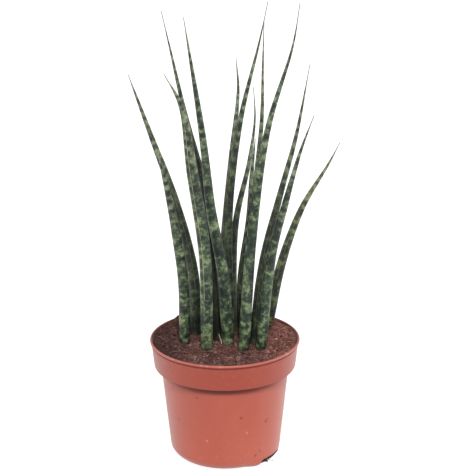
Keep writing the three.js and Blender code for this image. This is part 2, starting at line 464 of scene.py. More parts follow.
# A block across the pot's bottom edge, with its long edges rounded, angle degrees from the front
def edgeBlock(name, angle, width, corner, radii, heights):
    deselectAll()
    turn = math.radians(angle)
    middle = (radii[0] + radii[1]) / 2
    place = (middle * math.sin(turn), -middle * math.cos(turn), (heights[0] + heights[1]) / 2)
    length = radii[1] - radii[0]
    bpy.ops.mesh.primitive_cube_add(size=1, location=place, rotation=(0, 0, turn),
                                    scale=(width, length, heights[1] - heights[0]))
    block = named(name)
    bpy.ops.object.transform_apply(location=False, rotation=False, scale=True)
    editMode(block)
    mesh = bmesh.from_edit_mesh(block.data)
    for edge in mesh.edges:
        first, second = (end.co for end in edge.verts)
        edge.select_set(abs(first.y - second.y) > length / 2 and first.z > 0)
    bmesh.update_edit_mesh(block.data)
    bpy.ops.mesh.bevel(offset=corner, segments=notch["roundSteps"], affect="EDGES")
    objectMode()
    return block


def cutNotch(pot, angle):
    radii = (notch["innerRadius"], notch["innerRadius"] + notch["length"])
    cutter = edgeBlock("notch_cutter", angle, notch["width"], notch["corner"], radii,
                       (-notch["height"], notch["height"]))
    finishWith(pot, "BOOLEAN", operation="DIFFERENCE", object=cutter, solver="EXACT")
    bpy.data.objects.remove(cutter)


def makeBulges():
    b = bulge
    radii = (b["innerRadius"], b["outerRadius"])
    heights = (b["bottom"], b["top"])
    blocks = []
    for number, angle in enumerate(notch["angles"]):
        block = edgeBlock(f"soil_bulge_{number}", angle, b["width"], b["corner"], radii, heights)
        bpy.ops.object.transform_apply(location=True, rotation=True, scale=False)
        blocks.append(block)
    activate(blocks[0])
    for block in blocks:
        block.select_set(True)
    bpy.ops.object.join()
    piece = named("notch_soil")
    finishWith(piece, "REMESH", mode="VOXEL", voxel_size=b["voxel"])
    points = readPoints(piece)
    spots = [Vector(point) / mm * b["grainScale"] for point in points]
    shove = np.array([noise.fractal(spot, *b["grainNoise"]) for spot in spots])
    limit = edgeRadius(points[:, 2], flareShare(points)) - b["setBack"]
    radius = np.hypot(points[:, 0], points[:, 1])
    kept = np.minimum(radius, limit) - np.abs(shove) * b["grain"]
    points[:, :2] *= (kept / radius)[:, None]
    points[:, 2] += shove * b["grain"]
    writePoints(piece, points)
    smooth(piece)
    return piece


potMarks = {      # places in millimetres on the pot's outside, and how far each mark reaches
    "dirt": (((-36.8, -30.5, 41.4), 1.9), ((-21.9, -45.3, 66.2), 1.5), ((12.6, -47.0, 49.5), 2.0),
             ((32.4, -35.1, 41.4), 2.3), ((24.0, -38.0, 12.5), 1.7), ((27.5, -36.0, 15.5), 1.5),
             ((-28.5, -41.0, 71.5), 1.2), ((34.2, -34.0, 43.2), 1.3), ((-46.0, -36.0, 85.0), 1.6),
             ((-43.5, -39.0, 89.5), 1.3)),
    "pale": (((-14.4, -44.2, 28.5), 1.5), ((17.3, -43.9, 35.1), 1.3)),
    "core": 0.25,       # share of a mark's reach that is full
}

potColours = {
    "body": ((0.275, 0.047, 0.026), (0.298, 0.055, 0.031), (0.322, 0.067, 0.039)),
    "collar": (0.228, 0.030, 0.013),
    "dust": (0.36, 0.16, 0.125),
    "dirt": (0.085, 0.010, 0.006),
    "speck": (0.11, 0.018, 0.012),
    "paleMark": (0.55, 0.26, 0.20),
    # painted shadow in the crease under the collar
    "creaseShadow": (0.080, 0.004, 0.001),
    # painted shadow line under the lip
    "lipShadow": (0.090, 0.005, 0.002),
    # pale painted highlight on the lip's top, mixed with dust
    "lipDustAndHighlight": (0.50, 0.24, 0.20),
    "soilSmear": (0.070, 0.018, 0.012),
    "sheen": (1.0, 0.86, 0.84),
}

potWearAndShade = {
    "collarEdge": (-2.6 * mm, 0.9 * mm),        # from the height of the step under the collar
    # where the painted shadow under the collar lies
    "creaseShadowUnder": (-7.2 * mm, -3 * mm),
    "creaseShadowOver": (0.9 * mm, 0.2 * mm),
    # where the painted shadow line under the lip lies
    "lipShadowUnder": (-1.8 * mm, -1 * mm),       # from the height of the lip's bottom
    "lipShadowOver": (0.5 * mm, 0),
    # where the painted highlight on the lip's top lies
    "lipHighlightOver": (0.6 * mm, 1.2 * mm),
    "lipShadowOutside": (-1 * mm, -0.5 * mm),     # from the radius of the collar's top
    "lipHighlightOutside": (-0.5 * mm, 0.2 * mm),
    "innerSide": (-0.25 * mm, -0.6 * mm),       # from the wall's outside
    "smearOver": (80 * mm, 84 * mm),
    "dustOver": (80 * mm, 96 * mm),
    "dustUnder": (50 * mm, 5 * mm),
    # the painted shadow under the collar is strongest at the front
    "front": (-24 * mm, -50 * mm),
    "speckBack": (-20 * mm, 10 * mm),
    "ragged": 0.6 * mm,                         # how far a mark's edge is out of round
}


def markShare(paint, place, marks):
    total = 0.0
    for spot, reach in marks:
        centre = tuple(value * mm for value in spot)
        away = paint.vectorMath("DISTANCE", place, centre).out("Value")
        total = away.fade(reach * mm, reach * mm * potMarks["core"]) + total
    return total


def potPlastic():
    p = potShape
    c = potColours
    w = potWearAndShade
    paint = Paint("terracotta plastic")
    place = paint.place()
    x, y, z = paint.split(place)
    radius = (x * x + y * y) ** 0.5
    broad = paint.noise(place, 16, 3, 0.5)
    cloud = paint.noise(paint.scaled(place, (1, 1, 0.35)), 70, 4, 0.6)
    body = paint.ramp(broad * 0.7 + cloud * 0.3, list(zip((0.30, 0.50, 0.70), c["body"])))
    collar = z.fade(*w["collarEdge"], stepHeight)
    dust = paint.noise(place, 240, 5, 0.7).fade(0.52, 0.78)
    dustShare = z.fade(*w["dustOver"]) * 0.25 + z.fade(*w["dustUnder"]) * 0.25 + 0.1

    # Marks with ragged edges, and a few dark specks at the back
    wobble = paint.scaled(paint.noise(place, 700, 3, 0.7).out("Color"), (w["ragged"] * 2,) * 3)
    ragged = paint.vectorMath("SUBTRACT", paint.vectorMath("ADD", place, wobble), (w["ragged"],) * 3)
    cells = paint.cells(place, 62)
    chosen = paint.split(cells.out("Color"))[0].fade(0.86, 0.90) * y.fade(*w["speckBack"])

    # The painted shadow in the crease under the collar, the painted shadow line under the lip and the dusty
    # top of the lip with a painted highlight
    shadowInFront = 0.25 + y.fade(*w["front"]) * 0.58
    creaseShadow = z.fade(*w["creaseShadowUnder"], stepHeight) * z.fade(*w["creaseShadowOver"], stepHeight) * shadowInFront
    # painted shadow line under the lip
    shadowUnderLip = z.fade(*w["lipShadowUnder"], lipBottom) * z.fade(*w["lipShadowOver"], lipBottom)
    lipShadow = shadowUnderLip * radius.fade(*w["lipShadowOutside"], p["collarTop"])
    # pale painted highlight on the lip's top, mixed with dust
    lipDustAndHighlight = z.fade(*w["lipHighlightOver"], lipBottom) * radius.fade(*w["lipHighlightOutside"], p["collarTop"])

    # Soil smeared on the wall's inner side above the soil
    slope = (p["collarTop"] - p["collarBottom"]) / (p["collarHeight"] - p["lipHeight"])
    outside = z * slope + (p["collarBottom"] - stepHeight * slope)
    inside = (radius - outside).fade(*w["innerSide"]) * z.fade(*w["smearOver"])
    smear = paint.noise(place, 420, 4, 0.6).fade(0.22, 0.45)

    colour = paint.layered(
        body,
        (collar * 0.9, c["collar"]),
        (dust * dustShare, c["dust"]),
        (markShare(paint, ragged, potMarks["dirt"]) * 0.62, c["dirt"]),
        (cells.fade(0.075, 0.045) * chosen * 0.6, c["speck"]),
        (markShare(paint, ragged, potMarks["pale"]) * 0.4, c["paleMark"]),
        (creaseShadow, c["creaseShadow"]),
        (lipShadow * 0.72, c["lipShadow"]),
        (lipDustAndHighlight * (0.2 + dust * 0.35), c["lipDustAndHighlight"]),
        (inside * smear, c["soilSmear"]),
    )
    grain = paint.noise(place, 1500, 2, 0.5)
    ripple = paint.noise(paint.scaled(place, (1, 1, 2.6)), 130, 3, 0.5)
    paint.set(
        Base_Color=colour,
        Roughness=0.36 + cloud * 0.12 + dust * 0.12 + (creaseShadow + lipShadow) * 0.4,
        Specular_IOR_Level=0.36,
        Sheen_Weight=0.10,
        Sheen_Roughness=0.45,
        Sheen_Tint=c["sheen"],
        Normal=paint.bump(grain * 0.35 + ripple, 0.12, 0.6 * mm),
    )
    return paint.material


# Leaves

leafShape = {
    "sides": 22,
    "stations": 58,
    "curveSteps": 60,
    "sunkDepth": 26 * mm,
    "sunkWidth": 0.62,
    "footSteps": (0, 0.8 * mm, 3 * mm),
    "neckWidth": 0.92,
    "neckHeight": 14 * mm,
    "taperStart": 1.6,
    "tipRadius": 0.38 * mm,
    "tipLength": 2.5 * mm,
    "tipBlunt": 0.4 * mm,
    "channelDepth": 0.30,
    "channelHalfAngle": 20,
    "channelWidth": 0.8,        # in channel half angles, as the next two are
    "lipAt": 1.25,
    "lipWidth": 0.3,
    "lipRise": 0.035,
    "channelStart": 0.03,       # in shares of the leaf's length
    "channelEase": 0.22,
    "uneven": 0.03,
    "unevenAround": 0.6,
    "unevenAlong": 55,
    "unevenSeed": 7.3,          # how far the unevenness of one leaf is from the next one's
    "unevenMiddle": 0.3,
    "endRound": (0.35, 0.8),
    "longBand": 20 * mm,          # from one pale band to the next, near the soil
    "shortBand": 7 * mm,          # and near the tip
    "bandEase": 1.5,
    "soilLevel": 95.5 * mm,
}

# Each leaf rises from its foot, and path is three points on its way and its tip, in millimetres.
# turn is where its channel faces, olive is how much its green leans to olive, and shade is how much painted
# shade darkens its lower half. taperStart is larger on a leaf that keeps its width until near its tip.
leaves = [
    {"node": "leaf_left_front", "width": 9.3, "taper": 0.8, "taperStart": 2.4, "turn": 15, "olive": 0.15,
     "foot": (-32, -2), "path": ((-32.3, -5, 147), (-38.7, -12, 200), (-44, -19, 232), (-50, -27, 262))},
    {"node": "leaf_left_back", "width": 9.8, "taper": 0.8, "turn": -20, "olive": 0.15, "shade": 0.62,
     "foot": (-23.4, 17), "path": ((-25.3, 21, 147), (-38.7, 30, 203), (-58.6, 43, 257), (-76, 55, 303))},
    {"node": "leaf_middle_left", "width": 10, "taper": 1.6, "taperStart": 6, "turn": 180, "olive": 0.1,
     "foot": (-14, -16), "path": ((-15, -22, 177), (-23.8, -31, 248), (-31, -40, 301), (-44, -46, 329))},
    {"node": "leaf_tall_left_back", "width": 8.8, "taper": 1, "turn": 10, "olive": 0.2, "shade": 1,
     "foot": (-5, 4), "path": ((-14.7, 12, 214), (-30.4, 20, 281), (-40, 26, 325), (-48, 32, 360))},
    {"node": "leaf_tall_left_front", "width": 10.4, "taper": 0.9, "turn": -25, "olive": 0.05,
     "foot": (2.5, -4), "path": ((-1, -6, 155), (-10, -9, 210), (-16, -15, 272), (-29, -26, 367))},
    {"node": "leaf_short_back", "width": 8.5, "taper": 0.75, "turn": 30, "olive": 0.1, "shade": 0.6,
     "foot": (-4, 26), "path": ((0.5, 32, 172), (6.4, 43, 238), (11.7, 55, 289), (10, 62, 315))},
    {"node": "leaf_tall_middle", "width": 9.1, "taper": 1.05, "turn": 25, "olive": 0.1, "shade": 0.7,
     "foot": (4, 10), "path": ((3, 11, 192), (13, 13, 274), (28, 15, 337), (35, 16, 370))},
    {"node": "leaf_slim_back", "width": 7.3, "taper": 0.95, "turn": -35, "olive": 0.1, "shade": 0.85,
     "foot": (6, 22), "path": ((9, 32, 183), (20, 45, 231), (25, 55, 265), (24, 64, 290))},
    {"node": "leaf_slim_tall", "width": 6.8, "taper": 0.9, "turn": 20, "olive": 0.2, "shade": 0.4,
     "foot": (16.5, 1.5), "path": ((24, 11, 211), (30, 19, 275), (31, 25, 319), (32, 30, 352))},
    {"node": "leaf_short_middle", "width": 8.4, "taper": 0.7, "turn": -15, "olive": 0.1, "shade": 0.6,
     "foot": (14, 12), "path": ((14, 13, 144), (20, 15, 193), (22, 19, 229), (25, 22, 259))},
    {"node": "leaf_tall_right", "width": 9.7, "taper": 1.05, "turn": -15, "olive": 0.1,
     "foot": (15, -18), "path": ((22, -24, 196), (34, -35, 283), (52, -46, 349), (57, -52, 383))},
    {"node": "leaf_right_back", "width": 8.3, "taper": 1, "turn": 15, "olive": 0.25, "shade": 0.8,
     "foot": (23.2, -3), "path": ((31, 4, 162), (45, 11, 218), (57, 18, 262), (68, 28, 318))},
    {"node": "leaf_right_front", "width": 9.4, "taper": 0.95, "turn": -20, "olive": 0.05,
     "foot": (28.5, -15), "path": ((37, -24, 177), (47, -34, 222), (58, -45, 267), (68, -55, 299))},
    {"node": "leaf_right_outer", "width": 9.2, "taper": 0.95, "turn": 20, "olive": 0.7, "shade": 0.35,
     "foot": (35, 32), "path": ((46, 39, 147), (63, 51, 191), (85, 63, 225), (95, 70, 242))},
]
leafNumbers = ("leafShare", "leafSeed", "leafOlive", "leafShade")       # each leaf's mesh carries them


def smoothStretch(before, start, end, after, count):      # one stretch of a curve through points
    gap0 = math.sqrt(np.linalg.norm(start - before))
    gap1 = math.sqrt(np.linalg.norm(end - start))
    gap2 = math.sqrt(np.linalg.norm(after - end))
    slope1 = ((start - before) / gap0 - (end - before) / (gap0 + gap1) + (end - start) / gap1) * gap1
    slope2 = ((end - start) / gap1 - (after - start) / (gap1 + gap2) + (after - end) / gap2) * gap1
    t = np.linspace(0, 1, count, endpoint=False)[:, None]
    bend2 = -3 * start + 3 * end - 2 * slope1 - slope2
    bend3 = 2 * start - 2 * end + slope1 + slope2
    return start + slope1 * t + bend2 * t ** 2 + bend3 * t ** 3


class Route:      # a leaf's centre line, measured along from the soil
    def __init__(self, leaf):
        level = leafShape["soilLevel"] / mm
        points = [(*leaf["foot"], level), *leaf["path"]]
        points = [np.array(point, float) * mm for point in points]
        ends = [2 * points[0] - points[1], *points, 2 * points[-1] - points[-2]]
        steps = leafShape["curveSteps"]
        stretches = [smoothStretch(*ends[i:i + 4], steps) for i in range(len(points) - 1)]
        self.line = np.vstack([*stretches, points[-1]])
        gaps = np.linalg.norm(np.diff(self.line, axis=0), axis=1)
        self.along = np.concatenate([[0], np.cumsum(gaps)])
        self.length = self.along[-1]
        self.slope = np.gradient(self.line, self.along, axis=0)
        self.slope /= np.linalg.norm(self.slope, axis=1)[:, None]
        inward = points[0] - points[-1]
        inward[2] = 0
        inward /= np.linalg.norm(inward)
        turn = math.radians(leaf["turn"])
        self.inward = np.array(Matrix.Rotation(turn, 3, "Z") @ Vector(inward))

    def at(self, along):
        clipped = np.clip(along, 0, self.length)
        place = np.stack([np.interp(clipped, self.along, self.line[:, i]) for i in range(3)], 1)
        slope = np.stack([np.interp(clipped, self.along, self.slope[:, i]) for i in range(3)], 1)
        slope /= np.linalg.norm(slope, axis=1)[:, None]
        place += slope * (along - clipped)[:, None]
        inward = self.inward - slope * (slope @ self.inward)[:, None]
        inward /= np.linalg.norm(inward, axis=1)[:, None]
        return place, slope, inward


def leafRadius(leaf, length, along):
    s = leafShape
    half = leaf["width"] * mm / 2
    if along < 0:
        sunk = min(1, -along / s["sunkDepth"])
        return half * (s["neckWidth"] + (s["sunkWidth"] - s["neckWidth"]) * sunk * sunk)
    neck = 1 - (1 - s["neckWidth"]) * math.exp(-(along / s["neckHeight"]) ** 2)
    start = leaf.get("taperStart", s["taperStart"])
    taper = (1 - min(1, along / length) ** start) ** leaf["taper"]
    return max(s["tipRadius"], half * neck * taper)


def bandCount(length, along):      # how many pale bands lie below a place on the leaf
    s = leafShape
    fine = np.linspace(0, length, 400)
    gaps = s["shortBand"] + (s["longBand"] - s["shortBand"]) * (1 - fine / length) ** s["bandEase"]
    counts = np.concatenate([[0], np.cumsum(np.diff(fine) / gaps[1:])])
    return np.interp(along, fine, counts)


def makeLeaf(leaf, seed):
    s = leafShape
    route = Route(leaf)
    stations = [step - s["sunkDepth"] for step in s["footSteps"]]
    stations += list(np.linspace(-s["sunkDepth"] / 2, route.length - s["tipLength"], s["stations"]))
    stations += [route.length - s["tipLength"] / 2, route.length - s["tipBlunt"]]
    radii = [leafRadius(leaf, route.length, along) for along in stations]
    for i, share in enumerate(s["endRound"]):
        radii[i] *= share
        radii[-1 - i] *= share
    deselectAll()
    bpy.ops.mesh.primitive_circle_add(vertices=s["sides"], radius=radii[0], fill_type="NGON",
                                      location=(0, 0, stations[0]))
    piece = named(leaf["node"].replace("leaf_", "spear_"))
    bpy.ops.object.transform_apply(location=True, rotation=False, scale=False)
    editMode(piece, "ALL")
    for i in range(1, len(stations)):
        rise = stations[i] - stations[i - 1]
        extrudeStep((0, 0, rise), radii[i] / radii[i - 1], stations[i])
    closeShape()
    finishWith(piece, "SUBSURF", levels=1, render_levels=1)
    growLeaf(piece, leaf, route, seed)
    smooth(piece)
    return piece


def leafNoise(around, along, seed):
    s = leafShape
    x = math.cos(around) * s["unevenAround"]
    y = math.sin(around) * s["unevenAround"]
    return noise.noise(Vector((x, y, along * s["unevenAlong"] + seed * s["unevenSeed"])))


# Cuts the channel, adds a little unevenness, keeps the straight shape for the markings, then bends it
def growLeaf(piece, leaf, route, seed):
    s = leafShape
    straight = readPoints(piece)
    x, y, along = straight.T
    around = np.arctan2(x, y)
    share = np.clip(along / route.length, 0, 1)
    lip = math.radians(s["channelHalfAngle"])
    cut = np.exp(-(np.abs(around) / (lip * s["channelWidth"])) ** 3)
    edge = np.exp(-((np.abs(around) - lip * s["lipAt"]) / (lip * s["lipWidth"])) ** 2)
    depth = smoothStep((share - s["channelStart"]) / s["channelEase"])
    uneven = np.array([leafNoise(a, h, seed) for a, h in zip(around, along)]) - s["unevenMiddle"]
    scale = 1 - depth * (cut * s["channelDepth"] - edge * s["lipRise"]) + s["uneven"] * uneven
    place, slope, inward = route.at(along)
    side = np.cross(inward, slope)
    bands = bandCount(route.length, np.clip(along, 0, route.length))
    writeVector(piece, "leafPlace", straight)
    writeVector(piece, "leafRound", np.column_stack([np.sin(around), np.cos(around), bands]))
    for name, value in zip(leafNumbers, (share, seed, leaf["olive"], leaf.get("shade", 0))):
        writeNumber(piece, name, np.full(len(along), value))
    bent = place + side * (x * scale)[:, None] + inward * (y * scale)[:, None]
    writePoints(piece, bent)


leafColours = {
    "lower": ((0.0, (0.003, 0.007, 0.005)), (0.32, (0.015, 0.026, 0.016)), (0.60, (0.047, 0.072, 0.036)),
              (1.0, (0.165, 0.210, 0.110))),
    "upper": ((0.0, (0.008, 0.011, 0.008)), (0.30, (0.026, 0.034, 0.022)), (0.62, (0.082, 0.103, 0.062)),
              (1.0, (0.165, 0.200, 0.125))),
    "olive": (1.02, 0.84, 0.58),
    # painted shade for the lower halves of the leaves at the back
    "shade": (0.08, 0.09, 0.07),
    "russet": (0.030, 0.014, 0.011),
    "channel": (0.07, 0.09, 0.05),
    "lip": (0.30, 0.31, 0.20),
    "dryTip": (0.24, 0.22, 0.20),
    "threads": (0.12, 0.15, 0.10),
}

leafMarks = {
    "seedShift": 0.37,      # how far one leaf's flecks are from the next one's along it
    "seedNoise": 13.7,      # and its bands in the noise that breaks them up
    "lipAngle": 0.42,       # radians from the channel's middle
    "russetAngle": 0.62,
    "creamyLeaf": 3,        # the leaf whose channel has paler lips
    "soiledFoot": (3.5 * mm, 0.5 * mm),
    "soiledRagged": 6 * mm,
}


def leafSkin():
    c = leafColours
    m = leafMarks
    paint = Paint("banded leaf")
    place = paint.attribute("leafPlace", "Vector")
    share, seed, olive, shade = (paint.attribute(name) for name in leafNumbers)
    x, y, along = paint.split(place)
    across, facing, bands = paint.split(paint.attribute("leafRound", "Vector"))

    # Cross bands that waver, broken up by patches, mottling and flecks
    shifted = along + seed * m["seedShift"]
    own = seed * m["seedNoise"]
    warp = paint.noiseAt(across * 0.7, facing * 0.7, bands * 0.9 + own, 2, 0.5)
    patch = paint.noiseAt(across * 0.5, facing * 0.5, bands * 2.0 + own, 2, 0.5)
    mottle = paint.noiseAt(x * 230, y * 230, shifted * 300, 2, 0.5, 0.3)
    flecks = paint.noiseAt(x * 800, y * 800, shifted * 760, 2, 0.6)
    turns = (bands + (warp - 0.5) * 1.1) * math.tau
    wave = turns.math("SINE", turns)
    rings = 0.5 + wave * (0.03 + share.fade(0.25, 0.7) * 0.09 + olive * 0.16)
    light = rings + (patch - 0.5) * 1.3 + (mottle - 0.5) * (1.45 - share * 0.5) + (flecks - 0.5) * 0.7
    pale = light.fade(0.06, 1.0)
    skin = paint.mix(share.fade(0.42, 0.85), paint.ramp(pale, c["lower"]), paint.ramp(pale, c["upper"]))
    skin = paint.mix(olive, skin, c["olive"], "MULTIPLY")
    # Painted shade: the lower half of each leaf is darkened as far as its shade says
    skin = paint.mix(shade * share.fade(0.80, 0.42), skin, c["shade"], "MULTIPLY")
    soiled = (along + (flecks - 0.5) * m["soiledRagged"]).fade(*m["soiledFoot"])

    # The channel, its pale lips and the russet line beside each lip
    around = abs(x.math("ARCTAN2", x, y))
    rooted = share.fade(0.06, 0.25)
    channel = around.fade(0.40, 0.28) * rooted
    lip = abs(around - m["lipAngle"]).fade(0.10, 0.03) * rooted
    breaks = paint.noiseAt(0.0, 0.0, shifted * 90, 3, 0.6).fade(0.40, 0.58)
    creamy = abs(seed - m["creamyLeaf"]).fade(0.6, 0.4)
    russet = abs(around - m["russetAngle"]).fade(0.12, 0.04) * rooted * (1 - breaks * 0.7)
    threads = paint.noiseAt(x * 2600, y * 2600, shifted * 45, 2, 0.5)

    skin = paint.layered(
        skin,
        (soiled * 0.7, c["russet"]),
        (channel * 0.15, c["channel"]),
        (lip * (0.06 + breaks * 0.22) * (1 + creamy * 2), c["lip"]),
        (russet * 0.35, c["russet"]),
        (share.fade(0.91, 0.99) * 0.7, c["dryTip"]),
        (threads.fade(0.45, 0.75) * 0.10, c["threads"]),
    )
    paint.set(
        Base_Color=skin,
        Roughness=0.42 + flecks * 0.12 + threads * 0.06,
        Specular_IOR_Level=0.32,
        Normal=paint.bump(threads * 0.5 + flecks * 0.35 + mottle * 0.4, 0.22, 0.4 * mm),
    )
    return paint.material


# Soil

soilShape = {
    "level": 95.5 * mm,
    "waves": 0.35 * mm,
    "frontRise": 0.6 * mm,         # how far the soil is banked up against the wall, at the front
    "backRise": 2.7 * mm,          # and at the back
    "sideShare": 0.8,
    "clearance": 0.3 * mm,
    "edgeGap": 0.15 * mm,
    "cells": 210,
    "heapAt": (-35 * mm, 41 * mm),
    "heapHeight": 4.4 * mm,
    "heapSpread": 9 * mm,
    "lumps": 0.8 * mm,
    "lumpScale": 0.16,
    "lumpNoise": (0.9, 2.1, 3),        # roughness, spacing and number of its layers
    "crumble": 0.7 * mm,
    "crumbleScale": 0.62,
    "crumbleNoise": (0.75, 2.2, 3),
    "crumbleShift": (40, 0, 0),
    "crackScale": 0.42,
    "crackGain": 1.6,
    "crackLevel": 0.6,
    "noiseHeight": 0.3,
    "stemShare": 0.9,           # share of a leaf's half width that loose bits keep clear of
    "skirt": 6 * mm,
    "earth": ((0.36, (0.019, 0.008, 0.007)), (0.46, (0.054, 0.022, 0.019)),
              (0.55, (0.108, 0.048, 0.041)), (0.66, (0.205, 0.105, 0.088))),
    # painted shade: the soil low in the pot, seen through the notches, is near black
    "lowShade": (0.010, 0.003, 0.003),
    "lowShadeSpan": (30 * mm, 12 * mm),          # upwards, in the notches
    "lowShadeShare": 0.85,
    "leftDarker": (0.32, 0.28, 0.32),
    "leftDarkerSpan": (-18 * mm, -45 * mm),       # the soil is darker at the left
    "leftDarkerShare": 0.7,
    "rightLighter": (1.45, 1.32, 1.28),
    "rightLighterSpan": (20 * mm, 45 * mm),          # and lighter at the right
}

crumbs = {
    "count": 3000,
    "smallest": 0.30 * mm,
    "largest": 1.5 * mm,
    "big": 1.1 * mm,            # above this size a crumb is one of the rounder kinds
    "kinds": 6,
    "bigKinds": 2,
    "dent": 0.55,
    "dentScale": 1.7,
    "dentShift": 9,             # from one kind to the next
    "squash": ((0.8, 1.3), (0.7, 1.0), (0.5, 0.8)),
    "tilt": 0.6,
    "settle": (-0.1, 0.35),
    "stemRoom": 0.8,            # in sizes of the crumb
    "seed": 23,
    "material": "crumbs of peat and bark",
    "tones": ((0.0, (0.030, 0.013, 0.011)), (0.45, (0.085, 0.036, 0.030)),
              (0.85, (0.140, 0.068, 0.056)), (1.0, (0.220, 0.135, 0.110))),
    "dark": (0.060, 0.026, 0.022),
    "darkShare": 0.5,
    "darkFade": (0.35, 0.7),
    "grain": (900, 4, 0.7),
    "bump": (0.6, 0.5 * mm),
    "roughness": 0.92,
    "shine": 0.2,
}

fibres = {
    "count": 1100,
    "shortest": 2.5 * mm,
    "longest": 12 * mm,
    "thickness": 0.17 * mm,
    "spread": (0.5, 1.6),       # of the thickness
    "edgeRoom": 1 * mm,
    "startRoom": 0.2 * mm,      # from a stem
    "stemRoom": 0.1 * mm,
    "rest": 0.4,                # of its thickness, above the soil
    "lift": 0.9 * mm,
    "arch": 1.2 * mm,
    "wander": 0.55,
    "joints": 6,
    "fewestJoints": 3,
    "endThickness": 0.35,       # of the thickness, on every strand
    "seed": 31,
    "material": "coir",
    "tones": ((0.0, (0.060, 0.022, 0.017)), (0.55, (0.160, 0.068, 0.052)),
              (0.90, (0.260, 0.130, 0.098)), (1.0, (0.420, 0.290, 0.220))),
    "dark": (0.07, 0.03, 0.024),
    "darkShare": 0.4,
    "darkFade": (0.4, 0.7),
    "grain": (700, 3, 0.6),
    "bump": (0.3, 0.2 * mm),
    "roughness": 0.8,
    "shine": 0.25,
}


def soilHeight(x, y):
    s = soilShape
    u = x / mm
    v = y / mm
    waves = math.sin(u * 0.21 + 1.3) * math.cos(v * 0.17) + 0.6 * math.sin(u * 0.11 - v * 0.23)
    away = math.hypot(x - s["heapAt"][0], y - s["heapAt"][1])
    heap = s["heapHeight"] * math.exp(-(away / s["heapSpread"]) ** 2)
    outward = (math.hypot(x, y) / potShape["collarTop"]) ** 4
    back = min(1, max(0, s["sideShare"] + y / potShape["collarTop"]))
    rise = s["frontRise"] + (s["backRise"] - s["frontRise"]) * back
    return s["level"] + s["waves"] * waves + heap + outward * rise


def soilSurface(x, y):
    s = soilShape
    spot = Vector((x, y, s["noiseHeight"])) / mm
    lumps = noise.fractal(spot * s["lumpScale"], *s["lumpNoise"])
    shifted = spot * s["crumbleScale"] + Vector(s["crumbleShift"])
    crumble = noise.fractal(shifted, *s["crumbleNoise"])
    cracks = min(1.0, noise.voronoi(spot * s["crackScale"])[0][0] * s["crackGain"])
    return soilHeight(x, y) + s["lumps"] * lumps + s["crumble"] * (crumble + (s["crackLevel"] - cracks))


def soilEdge():
    p = potShape
    level = (soilShape["level"] - stepHeight) / (lipBottom - stepHeight)
    low = p["collarBottom"] - p["wall"] - soilShape["clearance"]
    high = p["collarTop"] - p["wall"] - soilShape["clearance"]
    return low + (high - low) * level - soilShape["edgeGap"]


def makeSoil():
    s = soilShape
    radius = soilEdge()
    deselectAll()
    bpy.ops.mesh.primitive_grid_add(x_subdivisions=s["cells"], y_subdivisions=s["cells"], size=2,
                                    location=(0, 0, 0))
    soil = named("potting_mix")
    x, y = readPoints(soil)[:, :2].T
    disc = np.stack([x * np.sqrt(1 - y * y / 2), y * np.sqrt(1 - x * x / 2)], 1) * radius
    heights = np.array([soilSurface(a, b) for a, b in disc])
    writePoints(soil, np.column_stack([disc, heights]))
    editMode(soil)
    bpy.ops.mesh.select_mode(type="EDGE")
    bpy.ops.mesh.select_non_manifold(extend=False)
    at = (radius, potShape["height"] - s["skirt"])
    bpy.ops.mesh.extrude_region_move(TRANSFORM_OT_translate={"value": (0, 0, 0)})
    bpy.ops.transform.resize(value=(1, 1, 0), center_override=(0, 0, at[1]))
    for nextRadius, height in reversed(potInside(s["clearance"])):
        extrudeStep((0, 0, height - at[1]), nextRadius / at[0], height)
        at = (nextRadius, height)
    bpy.ops.mesh.edge_face_add()
    closeShape()
    smooth(soil, 60)
    return soil


def outsideStems(x, y, room):
    for leaf in leaves:
        reach = leaf["width"] * mm / 2 * soilShape["stemShare"] + room
        if math.hypot(x - leaf["foot"][0] * mm, y - leaf["foot"][1] * mm) < reach:
            return False
    return True


def randomSpot(rng, room, edge):
    while True:
        radius = edge * math.sqrt(rng.random())
        angle = rng.uniform(0, math.tau)
        x = radius * math.cos(angle)
        y = radius * math.sin(angle)
        if outsideStems(x, y, room):
            return x, y


def crumbKinds(rng):
    kinds = []
    for number in range(crumbs["kinds"]):
        deselectAll()
        shift = Vector((number * crumbs["dentShift"], 0, 0))
        fine = 2 if number < crumbs["bigKinds"] else 1
        bpy.ops.mesh.primitive_ico_sphere_add(subdivisions=fine, radius=1, location=(0, 0, 0))
        lump = named("crumb_kind")
        points = readPoints(lump)
        shove = np.array([noise.noise(Vector(p) * crumbs["dentScale"] + shift) for p in points])
        points *= (1 + crumbs["dent"] * shove)[:, None]
        points *= np.array([rng.uniform(*limits) for limits in crumbs["squash"]])
        faces = [list(face.vertices) for face in lump.data.polygons]
        kinds.append((points, faces))
        bpy.data.objects.remove(lump)
    return kinds


def makeCrumbs():
    c = crumbs
    rng = random.Random(c["seed"])
    kinds = crumbKinds(rng)
    edge = soilEdge()
    parts = []
    tones = []
    for _ in range(c["count"]):
        size = c["smallest"] + (c["largest"] - c["smallest"]) * rng.random() ** 4
        x, y = randomSpot(rng, size * c["stemRoom"], edge - size)
        if size > c["big"]:
            kind, faces = kinds[rng.randrange(c["bigKinds"])]
        else:
            kind, faces = kinds[rng.randrange(c["bigKinds"], c["kinds"])]
        turn = Matrix.Rotation(rng.uniform(0, math.tau), 3, "Z")
        turn = turn @ Matrix.Rotation(rng.uniform(-c["tilt"], c["tilt"]), 3, "X")
        spot = np.array([x, y, soilSurface(x, y) + size * rng.uniform(*c["settle"])])
        parts.append((kind @ np.array(turn).T * size + spot, faces))
        tones += [rng.random()] * len(kind)
    piece = joinParts("soil_crumbs", parts)
    writeNumber(piece, "tone", tones)
    smooth(piece, 50)
    return piece


